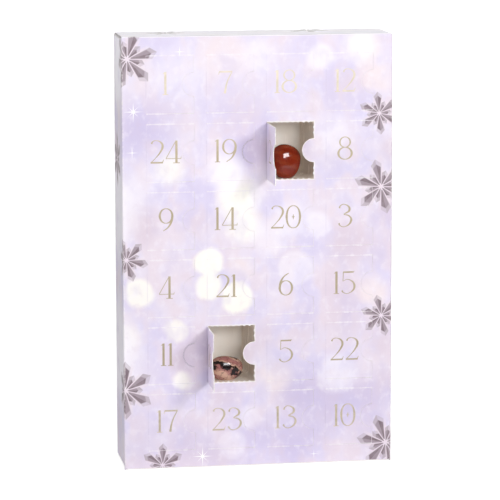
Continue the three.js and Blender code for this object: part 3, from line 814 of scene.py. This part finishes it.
strokes = {
    digit: [
        *(foil_stroke(points, True) for points in rings),
        *(foil_stroke(points, False) for points in lines),
    ]
    for digit, (_, rings, lines) in DIGITS.items()
}
for number, corner in door_places.items():
    text = str(number)
    width = sum(DIGITS[digit][0] for digit in text) + DIGIT_GAP * (len(text) - 1)
    middle = corner + DOOR_MIDDLE + NUMBER_OFFSET
    left = middle.x - width * NUMBER_HEIGHT / 2
    low = middle.z - NUMBER_HEIGHT / 2
    bm = bmesh.new()
    lift = 0
    for digit in text:
        for stroke in strokes[digit]:
            before = len(bm.verts)
            bm.from_mesh(stroke)
            bm.verts.ensure_lookup_table()
            for vert in bm.verts[before:]:
                across, up, front_side = vert.co.x, vert.co.y, vert.co.z > 0
                depth = -FOIL_PROUD - lift if front_side else FOIL_SUNK
                place = (left + across * NUMBER_HEIGHT, FRONT + depth, low + up * NUMBER_HEIGHT)
                vert.co = Vector(place) * MM
            lift += FOIL_STEP
        left += (DIGITS[digit][0] + DIGIT_GAP) * NUMBER_HEIGHT
    if number in OPEN_ANGLES:
        turn = Matrix.Rotation(-math.radians(OPEN_ANGLES[number]), 3, "Z")
        bmesh.ops.rotate(bm, verts=bm.verts, cent=corner * MM, matrix=turn)
    new_piece(f"number_{number:02d}", bm, foil, f"door_{number:02d}")
for meshes in strokes.values():
    for mesh in meshes:
        bpy.data.meshes.remove(mesh)
bpy.data.objects.remove(ribbon_shape)
bpy.data.curves.remove(ribbon)

# The tray: one sheet of milky plastic, drawn down over a mould into 24 deep pockets with rounded
# corners and sloping walls, then trimmed to a short skirt turned back all round its edge.

TRAY_FRONT = -21.2
TRAY_WALL = 0.5
TRAY_LEFT, TRAY_RIGHT, TRAY_LOW, TRAY_TOP = -93, 93, 2.7, 298.1
MOUTH_WIDTH, MOUTH_HEIGHT = 35.2, 42.0
MOUTH_RADIUS = 3.6
MOUTH_STEPS = 7
MOUTH_INSET, BASE_INSET = 2.4, 1.4
AT_EDGE = 0.1
# The pocket's rings from its mouth down: depth, and how far each side has come in, in mm
POCKET_RINGS = [
    (0.1, 0.5), (0.4, 0.9), (1.2, 1.2), (12, 1.9), (25, 2.6), (38, 3.3), (40.2, 3.7), (41.6, 4.5),
    (42.5, 5.7), (42.8, 7.3),
]
SKIRT_RINGS = [(0.15, 0.6), (0.6, 0.15), (5, 0)]

bm = bmesh.new()
for row in range(ROWS):
    for column in range(COLUMNS):
        middle = Vector((
            FIRST_DOOR_LEFT + column * COLUMN_PITCH + DOOR_WIDTH / 2, TRAY_FRONT,
            FIRST_DOOR_LOW + row * ROW_PITCH + DOOR_HEIGHT / 2,
        ))
        cell = bmesh.ops.create_grid(bm, x_segments=1, y_segments=1, size=0.5)["verts"]
        bmesh.ops.rotate(bm, verts=cell, matrix=Matrix.Rotation(math.pi / 2, 3, "X"))
        bmesh.ops.scale(bm, verts=cell, vec=(COLUMN_PITCH, 1, ROW_PITCH))
        bmesh.ops.translate(bm, verts=cell, vec=middle)
        mouth = cell[0].link_faces[0]
        bmesh.ops.inset_individual(bm, faces=[mouth], thickness=MOUTH_INSET)
        for vert in mouth.verts:
            vert.co.x = middle.x + math.copysign(MOUTH_WIDTH / 2, vert.co.x - middle.x)
            vert.co.z = middle.z + math.copysign(MOUTH_HEIGHT / 2, vert.co.z - middle.z)
        bmesh.ops.bevel(
            bm, geom=list(mouth.verts), offset=MOUTH_RADIUS, offset_type="OFFSET", affect="VERTICES",
            segments=MOUTH_STEPS, profile=0.5, material=-1,
        )
        rounded = [face for face in bm.faces if len(face.verts) > MOUTH_STEPS * 3]
        mouth = min(rounded, key=lambda face: (face.calc_center_median() - middle).length)
        rim = {vert: vert.co.copy() for vert in mouth.verts}
        for depth, inward in POCKET_RINGS:
            before = list(mouth.verts)
            mouth = bmesh.ops.extrude_discrete_faces(bm, faces=[mouth])["faces"][0]
            rim = {new: rim[old] for old, new in zip(before, mouth.verts)}
            for vert, start in rim.items():
                off = start - middle
                vert.co = middle + Vector((
                    off.x * (1 - 2 * inward / MOUTH_WIDTH), depth, off.z * (1 - 2 * inward / MOUTH_HEIGHT),
                ))
        bmesh.ops.inset_individual(bm, faces=[mouth], thickness=BASE_INSET)
bmesh.ops.remove_doubles(bm, verts=bm.verts, dist=SAME_PLACE)
edges = [edge for edge in bm.edges if edge.is_boundary]
grid_left = FIRST_DOOR_LEFT + DOOR_WIDTH / 2 - COLUMN_PITCH / 2
grid_right = grid_left + COLUMNS * COLUMN_PITCH
grid_low = FIRST_DOOR_LOW + DOOR_HEIGHT / 2 - ROW_PITCH / 2
grid_top = grid_low + ROWS * ROW_PITCH
outer = {grid_left: TRAY_LEFT, grid_right: TRAY_RIGHT}
outer_up = {grid_low: TRAY_LOW, grid_top: TRAY_TOP}
for depth, inward in SKIRT_RINGS:
    made = bmesh.ops.extrude_edge_only(bm, edges=edges)["geom"]
    edges = [part for part in made if isinstance(part, bmesh.types.BMEdge) and part.is_boundary]
    for vert in {vert for edge in edges for vert in edge.verts}:
        for near, far in outer.items():
            if abs(vert.co.x - near) < AT_EDGE:
                vert.co.x = far - math.copysign(inward, far)
        for near, far in outer_up.items():
            if abs(vert.co.z - near) < AT_EDGE:
                vert.co.z = far - math.copysign(inward, far - CARTON_HEIGHT / 2)
        vert.co.y = TRAY_FRONT + depth
    outer = {far - math.copysign(inward, far): far for far in outer.values()}
    outer_up = {far - math.copysign(inward, far - CARTON_HEIGHT / 2): far for far in outer_up.values()}
bmesh.ops.recalc_face_normals(bm, faces=bm.faces)
front_face = min(bm.faces, key=lambda face: face.calc_center_median().y)
if front_face.normal.y > 0:
    bmesh.ops.reverse_faces(bm, faces=bm.faces)
bmesh.ops.scale(bm, verts=bm.verts, vec=(MM, MM, MM))

milky_plastic, milky_tree, milky_shader = new_finish("milky_plastic")
milky_place = object_place(milky_tree)
drawn_out = milky_tree.nodes.new("ShaderNodeMapping")
drawn_out.inputs["Scale"].default_value = (1, 1, 0.1)
connect(milky_place, drawn_out.inputs["Vector"])
streaks = cloud(drawn_out.outputs["Vector"], 420, 3, 0.6)
milk = cloud(milky_place, 60, 2)
milky_colour = painted(milk.rise(0.3, 0.7), daylight(251, 247, 241), daylight(249, 242, 234))
milky_depth = split(milky_place)[1] * (1 / MM)
# The pocket walls are tinted browner than the pockets' floors: partly the thinned plastic letting the
# board behind show through, partly painted shade within the deep pockets
thinned_wall_and_painted_shade = milky_depth.rise(21, 17) * (streaks * 0.5 + 0.6)
milky_colour = painted(thinned_wall_and_painted_shade, milky_colour, daylight(232, 218, 203))
connect(milky_colour, milky_shader.inputs["Base Color"])
connect(streaks * 0.12 + 0.2, milky_shader.inputs["Roughness"])
milky_shader.inputs["IOR"].default_value = 1.5
add_relief(milky_tree, streaks, 0.1, 0.035)

tray = new_piece("pocket_tray", bm, milky_plastic, "carton", smooth=True)
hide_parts("formed_tray")
wall = tray.modifiers.new("wall", "SOLIDIFY")
wall.thickness = TRAY_WALL * MM
wall.offset = -1

# The stones: tumbled and polished semi-precious stones, one loose in each pocket. Each keeps the
# solid's own shape, rounded finer, and is coloured through with the grain of its kind.

STONE_KINDS = [
    "amethyst", "carnelian", "green_aventurine", "rose_quartz", "sodalite", "tiger_eye",
    "clear_quartz", "red_jasper", "howlite", "obsidian", "citrine", "rhodonite",
    "amethyst", "green_aventurine", "carnelian", "rhodonite", "sodalite", "rose_quartz",
    "tiger_eye", "howlite", "clear_quartz", "citrine", "red_jasper", "obsidian",
]


def painted_share(one, other):
    """The share covered by either of two layers."""
    return (one.rest() * other.rest()).rest()


def stone_grain():
    """Clouds, bands, veins and flecks within a stone, each laid on by its own share."""
    group, given, made = finish_group(
        "stone_grain",
        [("Place", "Vector"), ("Ground", "Color"), ("Cloud", "Color"), ("Band", "Color"),
         ("Vein", "Color"), ("Clouds", "Float"), ("Bands", "Float"), ("Veins", "Float"),
         ("Flecks", "Float"), ("Width", "Float"), ("Layers", "Float"), ("Seed", "Float")],
        [("Colour", "Color"), ("Dull", "Float"), ("Height", "Float")],
    )
    x, y, z = split(given["Place"])
    seed = Measure(given["Seed"])
    here = joined(x * (1 / MM) + seed, y * (1 / MM), z * (1 / MM) - seed)
    wide = cloud(here, 0.09, 3, 0.55, 0.6)
    fine = cloud(here, 0.7, 3, 0.6)
    bent = (x * 0.35 + y * 0.35 + z * 0.9) * (1 / MM) + wide * 8 + fine * 1.5 + (seed - 3)
    colour = painted(wide.rise(0.35, 0.65) * given["Clouds"], given["Ground"], given["Cloud"])
    band = (bent * -0.9).worked("SINE").rise(-0.2, 0.9)
    colour = painted(band * given["Bands"], colour, given["Band"])
    ridge = (cloud(here, 0.13, 4, 0.62, 1.2) - 0.5).size()
    vein = (fine * given["Width"] - ridge).rise(-0.012, 0.012)
    layer = (bent * 0.26).worked("SINE").size().rise(0.7, 0.84) * cloud(here, 0.2, 2).rise(0.34, 0.46)
    vein = painted_share(vein * given["Veins"], layer * given["Layers"])
    colour = painted(vein, colour, given["Vein"])
    speck = cloud(here, 1.9, 2).rise(0.62, 0.7)
    colour = painted(speck * given["Flecks"], colour, given["Band"])
    connect(colour, made["Colour"])
    connect(fine * 0.3 + vein * 0.4, made["Dull"])
    connect(fine, made["Height"])
    return group


STONE_GRAIN = stone_grain()
# Each kind: ground, cloud, band and vein colours, the shares of clouds, bands, veins and flecks,
# the veins' width, the share of veins in layers, how clear the stone is and how much it glows
STONE_LOOKS = {
    "amethyst": (
        (96, 62, 150), (150, 120, 196), (206, 190, 226), (70, 40, 120),
        0.8, 0.25, 0.3, 0.1, 0.035, 0.2, 0.35, 0.3,
    ),
    "carnelian": (
        (124, 34, 16), (142, 50, 26), (176, 98, 56), (70, 20, 10),
        0.7, 0.12, 0.35, 0.05, 0.035, 0, 0.1, 0.15,
    ),
    "green_aventurine": (
        (72, 132, 92), (104, 160, 118), (160, 200, 168), (48, 96, 66),
        0.7, 0.1, 0.4, 0.5, 0.03, 0, 0.05, 0.2,
    ),
    "rose_quartz": (
        (236, 190, 196), (246, 214, 216), (250, 232, 232), (226, 168, 176),
        0.8, 0.1, 0.3, 0.1, 0.035, 0, 0.3, 0.4,
    ),
    "sodalite": (
        (38, 54, 118), (66, 84, 150), (190, 198, 216), (222, 224, 230),
        0.8, 0.08, 0.9, 0.1, 0.04, 0, 0, 0.05,
    ),
    "tiger_eye": (
        (92, 52, 22), (124, 76, 30), (206, 150, 66), (44, 24, 12),
        0.6, 0.85, 0.4, 0.05, 0.04, 0.5, 0, 0.05,
    ),
    "clear_quartz": (
        (232, 234, 236), (244, 245, 246), (252, 252, 252), (210, 212, 216),
        0.6, 0.1, 0.4, 0.15, 0.03, 0, 0.75, 0.1,
    ),
    "red_jasper": (
        (142, 48, 34), (168, 66, 46), (120, 40, 32), (70, 28, 24),
        0.8, 0.25, 0.8, 0.2, 0.04, 0.2, 0, 0,
    ),
    "howlite": (
        (236, 234, 230), (246, 245, 242), (222, 220, 218), (120, 118, 120),
        0.7, 0.05, 0.95, 0.02, 0.03, 0, 0, 0.1,
    ),
    "obsidian": (
        (14, 14, 16), (24, 24, 28), (52, 52, 58), (8, 8, 9),
        0.6, 0.2, 0.2, 0.05, 0.03, 0, 0, 0,
    ),
    "citrine": (
        (222, 164, 52), (238, 196, 96), (248, 222, 150), (196, 128, 34),
        0.8, 0.15, 0.25, 0.08, 0.03, 0, 0.45, 0.3,
    ),
    "rhodonite": (
        (160, 104, 102), (178, 132, 120), (208, 170, 148), (28, 18, 18),
        0.8, 0.8, 0.6, 0.05, 0.034, 1, 0, 0.05,
    ),
}
SEED_STEP = 7.3
stone_finishes = {}
for kind, look in STONE_LOOKS.items():
    ground, mist, band, vein, clouds, bands, veins, flecks, width, layers, clearness, glow = look
    polished, tree, shader = new_finish("polished_" + kind)
    grain = placed_group(
        tree, STONE_GRAIN, Place=object_place(tree), Ground=daylight(*ground), Cloud=daylight(*mist),
        Band=daylight(*band), Vein=daylight(*vein), Clouds=clouds, Bands=bands, Veins=veins, Flecks=flecks,
        Width=width, Layers=layers, Seed=len(kind) * SEED_STEP,
    )
    connect(grain["Colour"], shader.inputs["Base Color"])
    connect(Measure(grain["Dull"]) * 0.18 + 0.06, shader.inputs["Roughness"])
    shader.inputs["IOR"].default_value = 1.54
    shader.inputs["Transmission Weight"].default_value = clearness
    shader.inputs["Subsurface Weight"].default_value = glow
    shader.inputs["Subsurface Radius"].default_value = (1, 0.5, 0.35)
    shader.inputs["Subsurface Scale"].default_value = 3 * MM
    shader.inputs["Coat Weight"].default_value = 0.15
    shader.inputs["Specular IOR Level"].default_value = 0.3
    shader.inputs["Coat Roughness"].default_value = 0.05
    add_relief(tree, grain["Height"], 0.15, 0.25)
    stone_finishes[kind] = polished

for number, kind in enumerate(STONE_KINDS, start=1):
    node = f"stone_{number:02d}"
    bm = bmesh.new()
    bm.from_mesh(nodes[node].data)
    bmesh.ops.remove_doubles(bm, verts=bm.verts, dist=2 * SAME_PLACE * MM)
    stone = new_piece(f"tumbled_{kind}_{number:02d}", bm, stone_finishes[kind], "carton", smooth=True)
    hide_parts(node)
    rounding = stone.modifiers.new("rounding", "SUBSURF")
    rounding.levels = rounding.render_levels = 2
